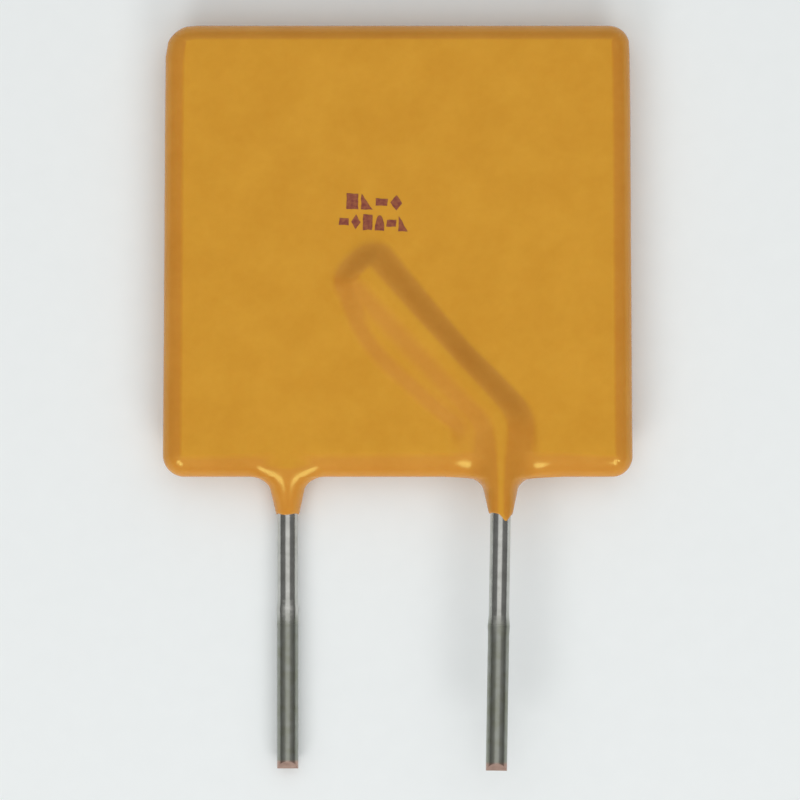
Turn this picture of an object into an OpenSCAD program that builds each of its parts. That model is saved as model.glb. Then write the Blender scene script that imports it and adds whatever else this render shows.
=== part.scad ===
// Resettable fuse with radial leads: a square conductive-polymer chip, foiled on both faces,
// with a tinned copper lead soldered across each face and the whole dipped in epoxy.
// It lies on its back. X runs across the body, Z through its thickness, and Y along the
// leads, whose free ends point to -Y. Lengths are in millimetres, angles in degrees.

/* [Body] */
// Width of the coated body along its lower edge, where the leads leave
body_w = 22.5; // [20:0.1:28]
// Narrowing of the body from its lower edge to its upper edge
body_taper = 0.3; // [0:0.05:0.8]
// Height of the coated body, measured along the leads
body_h = 21.6; // [18:0.1:28]
// Coating thickness over each flat face of the chip
coat_t = 0.44; // [0.3:0.01:0.6]
// Coating width beyond the chip's edges
coat_edge = 0.9; // [0.7:0.05:1.2]
// Radius of the body's corners, seen from the front
corner_r = 1.1; // [1:0.05:2]
// Width of the rounded band along the body's edges
edge_w = 0.95; // [0.6:0.05:0.95]

/* [Chip] */
// Thickness of the conductive-polymer sheet
sheet_t = 0.8; // [0.3:0.05:1.2]
// Thickness of each foil electrode
foil_t = 0.05; // [0.03:0.01:0.1]

/* [Leads] */
// Diameter of the plated wire that the leads are made of
lead_d = 0.98; // [0.8:0.01:1.1]
// Diameter of a lead's tail, which has been dipped in solder
tail_d = 1.02; // [0.82:0.01:1.15]
// Spacing of the leads across the body
pitch = 10.2; // [9.5:0.1:12]
// Offset of the pair of leads from the middle of the body
lead_shift = -0.18; // [-0.3:0.02:0.3]
// Free length of each lead below the body
lead_free = 14; // [6:0.5:30]
// Angle between a lead's free end and its run across the chip
bend_angle = 42.8; // [35:0.1:45]
// Radius of the bend, at the wire's centre line
bend_r = 1.8; // [1.5:0.1:2.5]
// Height of the bend's corner above the body's lower edge
bend_rise = 2.78; // [2.4:0.05:4]
// Length of the run across the chip, from the bend's corner
run_len = 9.6; // [7:0.1:10.5]
// Length of the front lead's dipped tail
front_tail = 6.4; // [3:0.1:12]
// Length of the back lead's dipped tail
back_tail = 7.1; // [3:0.1:12]
// Length of the bead where the dipped tail begins
bead_len = 1; // [0.8:0.1:1.5]
// Rise of that bead above the tail
bead_rise = 0.02; // [0.01:0.01:0.06]
// Lean of the front lead's free end towards the back lead
front_lean = 0.93; // [0:0.01:1.5]
// Length of the pinched cut at each free end
cut_len = 0.35; // [0.1:0.05:0.6]
// Thickness left at the tip of the pinched cut
cut_t = 0.24; // [0.1:0.02:0.4]

/* [Solder] */
// Solder film between a foil and the lead that lies on it
film_t = 0.04; // [0.02:0.01:0.1]
// Width of the fillet on the outer side of a lead
fillet_w = 0.95; // [0.7:0.05:1.2]
// Height of the fillet above the foil
fillet_h = 0.66; // [0.4:0.02:0.8]
// Greatest width of the solder pool on the inner side of a lead
pool_w = 2.3; // [1.6:0.1:2.6]
// Height of the solder pool above the foil
pool_h = 0.32; // [0.2:0.02:0.5]

/* [Ridge] */
// Coating thickness over the crest of a lead
cover_t = 0.12; // [0.1:0.01:0.4]
// Width of the ridge's flank, from crest to foot
flank_w = 1.85; // [1.6:0.05:2.1]
// Greatest width of the flank that lies over the solder pool
pool_flank_w = 2.85; // [2.4:0.05:3.2]
// Rise of the coating over the solder pool
pool_rise = 0.36; // [0.2:0.02:0.5]

/* [Sleeves] */
// Coating thickness at the end of a sleeve
sleeve_t = 0.07; // [0.05:0.01:0.15]
// Length of the flared part of a sleeve
flare_len = 1.5; // [1:0.05:1.6]
// Length of the fillet between the body's edge and a sleeve
fillet_len = 0.6; // [0.4:0.05:1]
// Widening of a sleeve on each side, from its end to that fillet
funnel_w = 0.4; // [0.2:0.05:0.5]
// Length of the sleeve on the front lead, along its middle
front_sleeve = 1.9; // [1.9:0.05:2.6]
// Length of the sleeve on the back lead
back_sleeve = 1.8; // [1.8:0.05:2.6]
// Slope of the front sleeve's ragged end across the lead
front_slant = 0.35; // [0:0.05:0.4]

/* [Hidden] */

$fn = 48;
front = 1;
back = -1;
quarter = 90;
half = 180;
over = 1; // how far a cutting shape passes the surface that it cuts

// heights, from the middle of the chip
foil_z = sheet_t / 2 + foil_t;
face_z = foil_z + coat_t;
lead_r = lead_d / 2;
tail_r = tail_d / 2;
wire_z = foil_z + film_t + lead_r;
crest_r = lead_r + cover_t;
sleeve_r = lead_r + sleeve_t;
lift = wire_z + crest_r; // the back ridge's crest touches the ground

// places along the leads, from the middle of the overall length
total_h = body_h + lead_free;
low_y = lead_free - total_h / 2;
top_y = low_y + body_h;
tip_y = low_y - lead_free;
chip_w = body_w - body_taper / 2 - 2 * coat_edge;
chip_h = body_h - 2 * coat_edge;

// route of a lead across the chip
corner_y = low_y + bend_rise;
bend_cut = bend_r * tan(bend_angle / 2);
bend_y = corner_y - bend_cut;
run_start = bend_cut;
end_start = run_len - cover_t;

// the coating's surface is laid out in columns across the body and rows along it
edge_steps = 6;
edge_last = edge_steps + 1;
a_cols = 12;
b_left = 14;
b_right = 10;
a0 = edge_last + 1;
a1 = a0 + a_cols;
b0 = a1 + 1;
b_mid = b0 + b_left;
b1 = b_mid + b_right;
r0 = b1 + 1;
last_col = r0 + edge_last;

straight_rows = 2;
bend_rows = 5;
run_rows = 9;
end_rows = 8;
bend_row = edge_last + straight_rows;
run_row = bend_row + bend_rows;
end_row = run_row + run_rows;
ridge_row = end_row + end_rows;
top_row = ridge_row + 1;
last_row = top_row + edge_last;

flare_rows = 7;
sleeve_rows = flare_rows + 1;

bend_swell = 0.01; // how much the wire's radius grows where it is bent
bend_lap = 0.1; // how far the straight lengths of a lead start inside the bend
lean_depth = 1; // how far below the body's edge a leaning free end crosses its straight course
turn_len = 4.7; // distance over which the rows turn to face the run
solder_in = 0.3; // how far the solder stops short of the ends of a lead's straight run
dip_r = 2.2; // radius of the coating where it dips from the face to the far lead
blend_power = 4; // how closely the ridge and the solder pool keep their own forms
shelf_power = 1.5; // how steeply the pool's shelf ends
bow_skew = 1.3; // how much the widest place of the shelf lies past its middle
bow_power = 0.7; // how full the bow of the shelf's foot is
rise_share = 0.35; // share of the shelf's length over which it rises from the bend
fall_share = 0.25; // share of the shelf's length over which it falls to the ridge's end
dip_ease = 0.6; // share of the softness in the coating's descent to the far lead
end_narrowing = 0.85; // narrowing of the ridge's foot at its far end

function mix(a, b, share) = a + (b - a) * share;
function clamp(share) = max(0, min(1, share));
function ease(share) = let (c = clamp(share)) c * c * (3 - 2 * c);

// half of the body's width at a height y
function half_w(y) = (body_w - body_taper * (y - low_y) / body_h) / 2;

// distance from the body's edge, and height there, of each ring of the rounded band
function ring_d(k) = k > edge_steps ? corner_r : edge_w * (1 - cos(quarter * k / edge_steps));
function ring_z(k) = k > edge_steps ? face_z : face_z * sin(quarter * k / edge_steps);

// a bell over a flank of width w: height h at its crest, whose radius is r
function bell(w, h, r, angle) = h * pow(cos(angle), max(1, w * w / (h * r)));

// the ridge's cross-section at x from its crest: the lead's bell blended with the pool
function section(x, w, h, r, pool, pool_w) =
    let (lead_h = x < w ? bell(w, h, r, asin(x / w)) : 0)
    let (shelf = pool * pow(1 - pow(x / pool_w, blend_power), shelf_power))
    pow(pow(lead_h, blend_power) + pow(shelf, blend_power), 1 / blend_power);

// the far lead's sheet dips from the face down to the lead; s runs out from the edge
function dip_z(s) =
    let (share = clamp((s + edge_w) / (back_sleeve + edge_w)))
    mix(face_z, sleeve_r - wire_z, mix(share, ease(share), dip_ease));

// a sleeve, s below the body's edge: half width, crest radius, and height of its seam
function sleeve_w(s) =
    let (rest = 1 - clamp(s / fillet_len))
    let (funnel = sleeve_r + funnel_w * (1 - clamp(s / back_sleeve)))
    mix(funnel, flank_w, 1 - sqrt(1 - rest * rest));
function sleeve_crest_r(s) = mix(crest_r, sleeve_r, ease(s / flare_len));
function seam_z(s) = wire_z * ease(s / flare_len);
function flare_s(row) = flare_len * (1 - cos(quarter * row / flare_rows));
function sleeve_end(lead, x) = lead == front ? front_sleeve + front_slant * x : back_sleeve;
function sleeve_s(lead, row, x) = row > flare_rows ? sleeve_end(lead, x) : flare_s(row);

// position along the run, from the bend's corner, of a row of the ridge
function end_angle(row) = quarter * clamp((row - end_row) / end_rows);
function run_at(row) =
    row < run_row ? 0
    : row <= end_row ? mix(run_start, end_start, (row - run_row) / run_rows)
    : end_start + flank_w * sin(end_angle(row));
function turn_at(row) = bend_angle * clamp((row - bend_row) / bend_rows);

// where a row of the ridge meets the crest line; lead_x is the lead's place across the body
function crest_at(lead_x, row) =
    row <= bend_row
    ? [lead_x, mix(low_y + corner_r, bend_y, (row - edge_last) / straight_rows)]
    : row <= run_row
    ? [lead_x - bend_r, bend_y] + bend_r * [cos(turn_at(row)), sin(turn_at(row))]
    : [lead_x, corner_y] + run_at(row) * [-sin(bend_angle), cos(bend_angle)];

// distance along the crest line from the first row of the ridge
function crest_len(row) =
    row <= bend_row
    ? (bend_y - low_y - corner_r) * (row - edge_last) / straight_rows
    : row <= run_row
    ? bend_y - low_y - corner_r + bend_r * turn_at(row) * PI / half
    : crest_len(run_row) + run_at(row) - run_start;
function turned(row) = clamp(crest_len(row) / turn_len);

// share of the way from the bend's start to the ridge's end, and the shelf's form there
function shelf_at(row) =
    clamp((crest_len(row) - crest_len(bend_row)) / (crest_len(end_row) - crest_len(bend_row)));
function bow(row) = pow(sin(half * pow(shelf_at(row), bow_skew)), bow_power);
function shelf_h(row) =
    pool_rise * ease(shelf_at(row) / rise_share) * ease((1 - shelf_at(row)) / fall_share);
function foot_share(row) = sqrt(1 - pow(end_narrowing * sin(end_angle(row)), 2));
function left_foot(row) = mix(flank_w, pool_flank_w, bow(row)) * foot_share(row);
function right_foot(row) = flank_w * foot_share(row);
function ridge_h(row) =
    let (h = lift - face_z) bell(flank_w, h, crest_r, end_angle(row)) * (row < ridge_row ? 1 : 0);

// angle of a column across a sleeve, from -90 at its left seam to 90 at its right seam
function a_angle(col) = quarter * (2 * (col - a0) / a_cols - 1);
function b_angle(col) =
    col < b_mid ? quarter * (col - b_mid) / b_left : quarter * (col - b_mid) / b_right;
function b_share(col, turn) =
    col < b_mid ? mix(sin(b_angle(col)), (col - b_mid) / b_left, turn) : sin(b_angle(col));

// a point of the rounded band moved round the corner: u and v are its distances from
// the two edges; the result is the same two distances on the rounded outline
function round_corner(u, v) =
    let (a = (corner_r - u) / corner_r)
    let (b = (corner_r - v) / corner_r)
    a <= 0 || b <= 0 ? [u, v]
    : let (share = max(a, b) / norm([a, b])) [1 - a * share, 1 - b * share] * corner_r;

// distance from the nearer end of the body of a row in the rounded bands
function end_d(row) = row <= edge_last ? ring_d(row) : ring_d(last_row - row);

// a point of the side bands
function side_point(col, row, y) =
    let (k = min(col, last_col - col))
    let (banded = row <= edge_last || row >= top_row)
    let (kept = banded ? round_corner(ring_d(k), end_d(row)) : [ring_d(k), 0])
    let (new_y = !banded ? y : row <= edge_last ? low_y + kept[1] : top_y - kept[1])
    let (x = half_w(new_y) - kept[0])
    let (ring = banded ? min(k, row <= edge_last ? row : last_row - row) : k)
    [col < a0 ? -x : x, new_y, ring_z(ring)];

// a point of the band along the lower edge, where the two leads pass under the coating
function low_point(side, col, row) =
    let (a = col <= a1)
    let (lead_x = side * lead_shift + (a ? -pitch / 2 : pitch / 2))
    let (angle = a ? a_angle(col) : b_angle(col))
    let (base = ring_z(row))
    let (h = (a ? max(base, dip_z(-ring_d(row))) : lift) - base)
    let (r = a ? dip_r : crest_r)
    let (z = h > 0 ? base + bell(flank_w, h, r, angle) : base)
    [lead_x + flank_w * sin(angle), low_y + ring_d(row), z];

// a point of a sleeve, which carries on below the lower edge
function sleeve_point(side, col, row) =
    let (a = col <= a1)
    let (lead_x = side * lead_shift + (a ? -pitch / 2 : pitch / 2))
    let (lead = a ? -side : side)
    let (angle = a ? a_angle(col) : b_angle(col))
    let (end_x = side * sleeve_w(back_sleeve) * sin(angle))
    let (s = sleeve_s(lead, row, end_x))
    let (w = sleeve_w(s))
    let (seam = a ? -seam_z(s) : seam_z(s))
    let (crest = a ? dip_z(s) : wire_z + sleeve_crest_r(s))
    let (r = a ? mix(dip_r, sleeve_r, ease(s / flare_len)) : sleeve_crest_r(s))
    [lead_x + w * sin(angle), low_y - s, seam + bell(w, crest - seam, r, angle)];

// a point of the rows that cross the ridge on the near lead
function ridge_point(side, col, row) =
    let (lead_x = side * lead_shift + pitch / 2)
    let (crest = crest_at(lead_x, row))
    let (angle = bend_angle * turned(row))
    let (across = [cos(angle), sin(angle)])
    let (foot = crest - left_foot(row) * across)
    let (inner_x = -half_w(crest[1]) + corner_r)
    let (first_x = -half_w(low_y) + corner_r)
    let (low_x = low_point(side, min(col, a1), 0)[0])
    let (share = (low_x - first_x) / (pitch / 2 + side * lead_shift - flank_w - first_x))
    let (near = col >= b0)
    let (w = col < b_mid ? left_foot(row) : right_foot(row))
    let (x = near ? w * b_share(col, turned(row)) : 0)
    let (pool = col < b_mid ? shelf_h(row) : 0)
    let (h = ridge_h(row))
    let (flank = flank_w * foot_share(row))
    near && h > 0 && abs(x) < w
    ? concat(crest + x * across, face_z + section(abs(x), flank, h, crest_r, pool, w))
    : near
    ? concat(crest + x * across, face_z)
    : concat(mix([inner_x, crest[1]], foot, share), face_z);

// a point of the rows along the upper edge
function top_point(col, row) =
    let (x = half_w(top_y) - corner_r)
    [mix(-x, x, (col - edge_last) / (r0 - edge_last)), top_y - end_d(row), ring_z(last_row - row)];

// any point of one side of the coating, in that side's own frame
function sheet_point(side, col, row) =
    let (ridge_rows = row > edge_last && row < top_row)
    let (y = ridge_rows ? crest_at(0, row)[1] : 0)
    row < 0 ? sleeve_point(side, col, -row)
    : col < a0 || col >= r0 ? side_point(col, row, y)
    : row <= edge_last ? low_point(side, col, row)
    : row < top_row ? ridge_point(side, col, row)
    : top_point(col, row);

// the back's frame is the front's, turned half a turn about Y
function placed(side, p) = [side * p[0], p[1], side * p[2] + lift];

function sheet(side) = concat(
    [for (row = [0 : last_row]) for (col = [0 : last_col])
        placed(side, sheet_point(side, col, row))],
    [for (row = [1 : sleeve_rows]) for (col = [a0 : a1])
        placed(side, sheet_point(side, col, -row))],
    [for (row = [1 : sleeve_rows]) for (col = [b0 : b1])
        placed(side, sheet_point(side, col, -row))]
);

// numbers of the points; the seam's points belong to the front
body_points = (last_col + 1) * (last_row + 1);
a_points = sleeve_rows * (a_cols + 1);
sheet_points = body_points + a_points + sleeve_rows * (b1 - b0 + 1);
function own_id(col, row) =
    row >= 0 ? row * (last_col + 1) + col
    : col <= a1 ? body_points - (row + 1) * (a_cols + 1) + col - a0
    : body_points + a_points - (row + 1) * (b1 - b0 + 1) + col - b0;
function on_seam(col, row) =
    row == last_row || col == 0 || col == last_col
    || (row == 0 && !(col > a0 && col < a1) && !(col > b0 && col < b1))
    || (row < 0 && (col == a0 || col == a1 || col == b0 || col == b1));
function seam_col(col, row) =
    row > 0 ? last_col - col : col == a1 ? b0 : col == b0 ? a1 : last_col - col;
function id(side, col, row) =
    side == front ? own_id(col, row)
    : on_seam(col, row) ? own_id(seam_col(col, row), row)
    : own_id(col, row) + sheet_points;

// the two triangles of a cell, split so that the corners of the body stay round
function cell(side, col, row) =
    let (p = id(side, col, row))
    let (q = id(side, col + 1, row))
    let (r = id(side, col + 1, row + 1))
    let (s = id(side, col, row + 1))
    (col < b0) == (row < end_row) ? [[p, s, r], [p, r, q]] : [[p, s, q], [q, s, r]];

function flat_list(lists) = [for (list = lists) for (item = list) item];
function sheet_cells(side) = flat_list(concat(
    [for (row = [0 : last_row - 1]) for (col = [0 : last_col - 1]) cell(side, col, row)],
    [for (row = [1 : sleeve_rows]) for (col = [a0 : a1 - 1]) cell(side, col, -row)],
    [for (row = [1 : sleeve_rows]) for (col = [b0 : b1 - 1]) cell(side, col, -row)]
));
function sleeve_cap(side) = concat(
    [for (col = [b0 : b1]) id(side, col, -sleeve_rows)],
    [for (col = [a0 + 1 : a1 - 1]) id(-side, col, -sleeve_rows)]
);

// turns the front's pieces into the back's
module on_side(side) {
    translate([0, 0, lift])
        rotate([0, side == front ? 0 : half, 0])
            children();
}

// moves to the corner of one side's lead, where its free end and its run would meet
module at_corner(side) {
    translate([side * lead_shift + pitch / 2, corner_y, 0])
        children();
}

// one lead: the bend, the free end and the run across the chip, both of which start a
// little way inside the bend; a leaning free end meets the run a little below the corner
module lead(side) {
    lean = side == front ? front_lean : 0;
    turn = bend_angle + lean;
    arc_cut = bend_r * tan(turn / 2);
    drop = (bend_rise + lean_depth) * sin(lean) / sin(turn);
    free_len = (corner_y - drop * cos(bend_angle) - tip_y) / cos(lean) - arc_cut;
    on_side(side)
        at_corner(side)
            translate([drop * sin(bend_angle), -drop * cos(bend_angle), wire_z])
                rotate([0, 0, -lean])
                    translate([-bend_r, -arc_cut, 0]) {
                        rotate_extrude(angle = turn)
                            translate([bend_r, 0])
                                circle(r = lead_r + bend_swell);
                        translate([bend_r, bend_lap, 0])
                            rotate([quarter, 0, 0])
                                free_end(free_len + bend_lap, side == front ? front_tail : back_tail);
                        rotate([0, 0, turn])
                            translate([bend_r, -bend_lap, 0])
                                rotate([-quarter, 0, 0])
                                    cylinder(h = run_len + drop - arc_cut + bend_lap, r = lead_r);
                    }
}

// the free end, from the bend at its foot up to the cut at its tip
module free_end(length, tail) {
    tail_y = length - tail;
    intersection() {
        rotate_extrude()
            polygon([
                [0, 0],
                [lead_r, 0],
                [lead_r, tail_y - bead_len],
                [tail_r + bead_rise, tail_y - bead_len / 2],
                [tail_r, tail_y],
                [tail_r, length],
                [0, length]
            ]);
        cut_wedge(length);
    }
}

// what the pinching cutter leaves of a free end
module cut_wedge(length) {
    wide = tail_r + over;
    slope = (tail_r - cut_t / 2) / cut_len;
    run = (wide - cut_t / 2) / slope;
    translate([-wide, 0, 0])
        rotate([quarter, 0, quarter])
            linear_extrude(height = 2 * wide)
                polygon([
                    [wide, -over],
                    [wide, length - run],
                    [cut_t / 2, length],
                    [-cut_t / 2, length],
                    [-wide, length - run],
                    [-wide, -over]
                ]);
}

// the solder's cross-section above the foil, with its pool on the inner side
function solder_h(x, pool) =
    section(abs(x), fillet_w, fillet_h, lead_r, pool, max(pool_w, fillet_w));

// the solder before the lead is taken out of it; sunk is how far it reaches into the foil
module solder_form(side, sunk) {
    length = run_len - run_start - 2 * solder_in;
    bow_h = pool_w - lead_r;
    bow_r = (pow(length, 2) / 4 + pow(bow_h, 2)) / (2 * bow_h);
    on_side(side)
        at_corner(side)
            rotate([0, 0, bend_angle])
                translate([0, run_start + solder_in, foil_z])
                    intersection() {
                        rotate([quarter, 0, 0])
                            mirror([0, 0, 1])
                                linear_extrude(height = length)
                                    solder_section(sunk);
                        translate([bow_r - pool_w, length / 2, -over])
                            cylinder(h = 2 * over + fillet_h, r = bow_r);
                    }
}

module solder_section(sunk) {
    steps = 24;
    polygon(concat(
        [for (k = [0 : steps]) let (x = -pool_w * (1 - k / steps)) [x, solder_h(x, pool_h)]],
        [for (k = [1 : steps / 2]) let (x = fillet_w * 2 * k / steps) [x, solder_h(x, 0)]],
        sunk > 0 ? [[fillet_w, -sunk], [-pool_w, -sunk]] : []
    ));
}

module solder(side) {
    difference() {
        solder_form(side, 0);
        lead(side);
    }
}

module coating() {
    color([0.8, 0.58, 0.21])
        difference() {
            polyhedron(
                points = concat(sheet(front), sheet(back)),
                faces = concat(
                    sheet_cells(front),
                    sheet_cells(back),
                    [sleeve_cap(front), sleeve_cap(back)]
                ),
                convexity = 6
            );
            chip_block(2 * foil_z);
            lead(front);
            lead(back);
            solder_form(front, foil_t);
            solder_form(back, foil_t);
        }
}

// a slab of the chip's outline, centred on its mid-plane
module chip_block(t) {
    translate([-chip_w / 2, low_y + coat_edge, lift - t / 2])
        cube([chip_w, chip_h, t]);
}

module polymer_chip() {
    color([0.12, 0.12, 0.13])
        chip_block(sheet_t);
}

module foil(side) {
    color([0.78, 0.77, 0.72])
        on_side(side)
            translate([-chip_w / 2, low_y + coat_edge, sheet_t / 2])
                cube([chip_w, chip_h, foil_t]);
}

module front_foil() {
    foil(front);
}

module back_foil() {
    foil(back);
}

module front_lead() {
    color([0.66, 0.66, 0.64])
        lead(front);
}

module back_lead() {
    color([0.66, 0.66, 0.64])
        lead(back);
}

module front_solder() {
    color([0.72, 0.73, 0.74])
        solder(front);
}

module back_solder() {
    color([0.72, 0.73, 0.74])
        solder(back);
}

coating();
polymer_chip();
front_foil();
back_foil();
front_lead();
back_lead();
front_solder();
back_solder();
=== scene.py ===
"""Dresses the resettable fuse: its dipped coating, printed mark, leads, floor, lights and camera."""

import logging
import math
from dataclasses import dataclass, field
from enum import Enum

import bpy
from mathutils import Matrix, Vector, noise


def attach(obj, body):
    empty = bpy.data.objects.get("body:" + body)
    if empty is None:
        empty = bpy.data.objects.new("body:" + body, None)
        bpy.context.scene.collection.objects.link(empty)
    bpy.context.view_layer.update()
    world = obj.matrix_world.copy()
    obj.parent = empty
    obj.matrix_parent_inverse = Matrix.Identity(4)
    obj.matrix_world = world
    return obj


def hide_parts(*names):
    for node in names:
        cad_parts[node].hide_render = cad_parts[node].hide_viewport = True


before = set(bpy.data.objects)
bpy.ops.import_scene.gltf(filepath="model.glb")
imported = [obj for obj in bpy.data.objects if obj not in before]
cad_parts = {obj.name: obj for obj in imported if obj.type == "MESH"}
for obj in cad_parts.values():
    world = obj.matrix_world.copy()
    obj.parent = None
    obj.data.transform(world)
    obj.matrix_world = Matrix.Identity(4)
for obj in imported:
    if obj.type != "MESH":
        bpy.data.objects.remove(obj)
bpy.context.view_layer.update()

MM = 0.001
MICRON = 0.000001
ROOT = "root"
LOG = logging.getLogger("fuse")

Point = tuple[float, float, float]
Colour = tuple[float, float, float, float]


def mix(a: float, b: float, share: float) -> float:
    """Returns the value that lies at share of the way from a to b."""
    return a + (b - a) * share


def clamp(share: float) -> float:
    """Returns share, held between 0 and 1."""
    return max(0.0, min(1.0, share))


def ease(share: float) -> float:
    """Returns share with a soft start and a soft end."""
    held = clamp(share)
    return held * held * (3 - 2 * held)


def srgb(red: int, green: int, blue: int) -> Colour:
    """Turns a colour of 0 to 255 per channel, as a screen shows it, into a linear one.

    Args:
        red: Red, from 0 to 255.
        green: Green, from 0 to 255.
        blue: Blue, from 0 to 255.

    Returns:
        The linear colour with full alpha.
    """
    linear = []
    for value in (red, green, blue):
        share = value / 255
        linear.append(share / 12.92 if share <= 0.04045 else ((share + 0.055) / 1.055) ** 2.4)
    return linear[0], linear[1], linear[2], 1.0


class Side(Enum):
    """The two faces of the fuse; the back is the front turned half a turn about Y."""

    FRONT = 1
    BACK = -1


class Strip(Enum):
    """The strips of columns that the coating's surface has, from left to right."""

    LEFT = "left band"
    FAR = "over the far lead"
    GAP = "between the leads"
    NEAR = "over the near lead"
    RIGHT = "right band"


class Zone(Enum):
    """The zones of rows that the coating's surface has, from the sleeves up."""

    SLEEVE = "sleeve"
    LOW = "lower band"
    RIDGE = "ridge"
    PLAIN = "plain face"
    TOP = "upper band"


@dataclass(frozen=True)
class FuseSizes:
    """The fuse's sizes in metres, as in the part's source."""

    body_w: float = 22.5 * MM
    body_taper: float = 0.3 * MM
    body_h: float = 21.6 * MM
    coat: float = 0.44 * MM
    sheet: float = 0.8 * MM
    foil: float = 0.05 * MM
    film: float = 0.04 * MM
    lead_r: float = 0.49 * MM
    tail_r: float = 0.51 * MM
    pitch: float = 10.2 * MM
    lead_shift: float = -0.18 * MM
    lead_free: float = 14.0 * MM
    bend_angle: float = math.radians(42.8)
    bend_r: float = 1.8 * MM
    bend_rise: float = 2.78 * MM
    run: float = 9.6 * MM
    cover: float = 0.12 * MM
    flank: float = 1.85 * MM
    pool_flank: float = 1.95 * MM
    pool_bow: float = 0.85 * MM
    pool_rise: float = 0.32 * MM
    sleeve_wall: float = 0.07 * MM
    flare: float = 1.5 * MM
    fillet: float = 0.6 * MM
    funnel: float = 0.4 * MM
    front_sleeve: float = 1.9 * MM
    back_sleeve: float = 1.8 * MM
    cut: float = 0.35 * MM

    @property
    def face_z(self) -> float:
        """Height of a flat face from the middle of the chip."""
        return self.sheet / 2 + self.foil + self.coat

    @property
    def wire_z(self) -> float:
        """Height of a lead's centre line from the middle of the chip."""
        return self.sheet / 2 + self.foil + self.film + self.lead_r

    @property
    def crest_r(self) -> float:
        """Radius of the coating over a lead's crest."""
        return self.lead_r + self.cover

    @property
    def sleeve_r(self) -> float:
        """Radius of a sleeve at its end."""
        return self.lead_r + self.sleeve_wall

    @property
    def lift(self) -> float:
        """Height of the middle of the chip above the floor."""
        return self.wire_z + self.crest_r

    @property
    def low_y(self) -> float:
        """Place of the body's lower edge along the leads."""
        return (self.lead_free - self.body_h) / 2

    @property
    def top_y(self) -> float:
        """Place of the body's upper edge along the leads."""
        return self.low_y + self.body_h

    @property
    def tip_y(self) -> float:
        """Place of the leads' tips."""
        return self.low_y - self.lead_free

    def half_w(self, y: float) -> float:
        """Returns half of the body's width at a place y along the leads."""
        return (self.body_w - self.body_taper * (y - self.low_y) / self.body_h) / 2


@dataclass(frozen=True)
class Column:
    """One column of the coating's surface: its strip and its place in the strip."""

    strip: Strip
    place: float


@dataclass(frozen=True)
class Row:
    """One row of the coating's surface: its zone and its place in the zone."""

    zone: Zone
    place: float


@dataclass(frozen=True)
class Rim:
    """The rounded band along one edge of the body: its width and how round its curve is."""

    width: float
    power: float

    def depth(self, height: float) -> float:
        """Returns how far inside the edge the curve lies, at a height from 0 to 1."""
        return self.width * (1 - max(0.0, 1 - height**self.power) ** (1 / self.power))

    def halfway(self, other: "Rim") -> "Rim":
        """Returns the rim halfway between this one and another."""
        return Rim((self.width + other.width) / 2, (self.power + other.power) / 2)


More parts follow.
